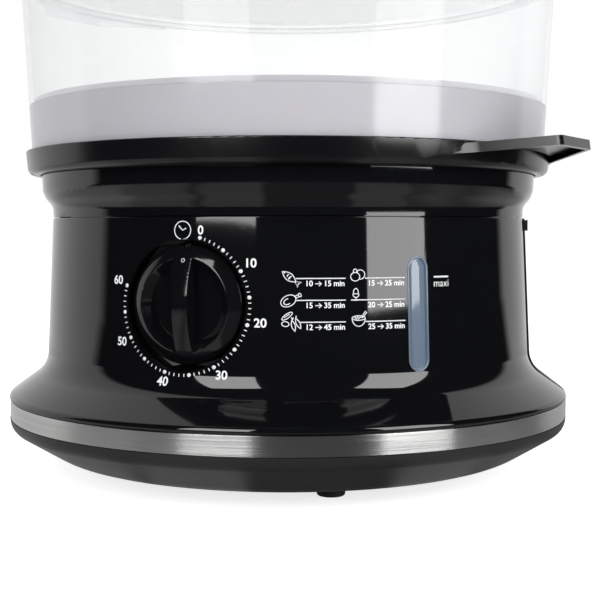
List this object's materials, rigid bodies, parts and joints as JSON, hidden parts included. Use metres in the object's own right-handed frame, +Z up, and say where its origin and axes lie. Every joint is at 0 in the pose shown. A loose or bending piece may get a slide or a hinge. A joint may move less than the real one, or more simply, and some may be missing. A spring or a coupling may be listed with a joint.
{
  "type": "electric food steamer",
  "caption": "Round electric food steamer: glossy base with timer dial and water gauge, steel band, drip tray, perforated bowl and domed clear lid.",
  "frame": {"origin": "on the floor under the middle of the round base", "axes": "+X to the user's right, nearly along both finger lugs; -Y to the front, where the dial is; +Z up"},
  "size_m": [0.3004, 0.2744, 0.2826],
  "materials": {
    "cover_black": "satin",
    "foot_rubber": "matte",
    "screw_steel": "plain",
    "band_steel": "brushed",
    "housing_black": "high gloss",
    "rear_black": "satin",
    "collar_black": "gloss",
    "tank_black": "gloss",
    "clear_plastic": "clear",
    "seal_rubber": "matte",
    "window_plastic": "clear, gloss",
    "heater_steel": "dull",
    "plate_steel": "rolled",
    "cutout_plastic": "matte",
    "terminal_plastic": "matte",
    "gland_plastic": "matte",
    "timer_plastic": "matte",
    "bell_metal": "pressed",
    "shaft_metal": "turned",
    "knob_black": "gloss",
    "ring_plastic": "satin",
    "tray_black": "gloss",
    "bowl_foot_plastic": "gloss",
    "bowl_clear": "clear",
    "lid_clear": "clear",
    "handle_black": "gloss"
  },
  "bodies": {
    "base": {"bottom_cover": "cover_black", "foot_front_right": "foot_rubber", "foot_rear_right": "foot_rubber", "foot_rear_left": "foot_rubber", "foot_front_left": "foot_rubber", "cover_screws": "screw_steel", "steel_band": "band_steel", "front_housing": "housing_black", "rear_panel": "rear_black", "tank_collar": "collar_black", "water_tank": "tank_black", "sight_chamber": "clear_plastic", "window_gasket": "seal_rubber", "level_window": "window_plastic", "heating_element": "heater_steel", "heater_gasket": "seal_rubber", "heater_plate": "plate_steel", "heater_screws": "screw_steel", "thermal_cutout": "cutout_plastic", "terminal_block": "terminal_plastic", "cord_gland": "gland_plastic", "gland_nut": "gland_plastic", "timer_bracket": "plate_steel", "timer_case": "timer_plastic", "timer_bell": "bell_metal", "timer_screws": "screw_steel"},
    "timer_knob": {"dial_knob": "knob_black", "timer_shaft": "shaft_metal"},
    "steam_ring": {"turbo_ring": "ring_plastic"},
    "tray": {"drip_tray": "tray_black"},
    "bowl": {"bowl_base": "bowl_foot_plastic", "bowl_wall": "bowl_clear"},
    "lid": {"lid_shell": "lid_clear", "lid_handle": "handle_black", "lid_screws": "screw_steel"}
  },
  "joints": [
    {"name": "timer_turn", "type": "hinge", "parent": "base", "child": "timer_knob", "pos_m": [0, -0.12, 0.0856], "axis": [0, 1, 0], "range_deg": [0, 286]},
    {"name": "ring_lift", "type": "slide", "parent": "base", "child": "steam_ring", "axis": [0, 0, 1], "range_m": [0, 0.035]},
    {"name": "tray_lift", "type": "slide", "parent": "base", "child": "tray", "axis": [0, 0, 1], "range_m": [0, 0.06]},
    {"name": "bowl_lift", "type": "slide", "parent": "tray", "child": "bowl", "axis": [0, 0, 1], "range_m": [0, 0.06]},
    {"name": "lid_lift", "type": "slide", "parent": "bowl", "child": "lid", "axis": [0, 0, 1], "range_m": [0, 0.06]}
  ]
}
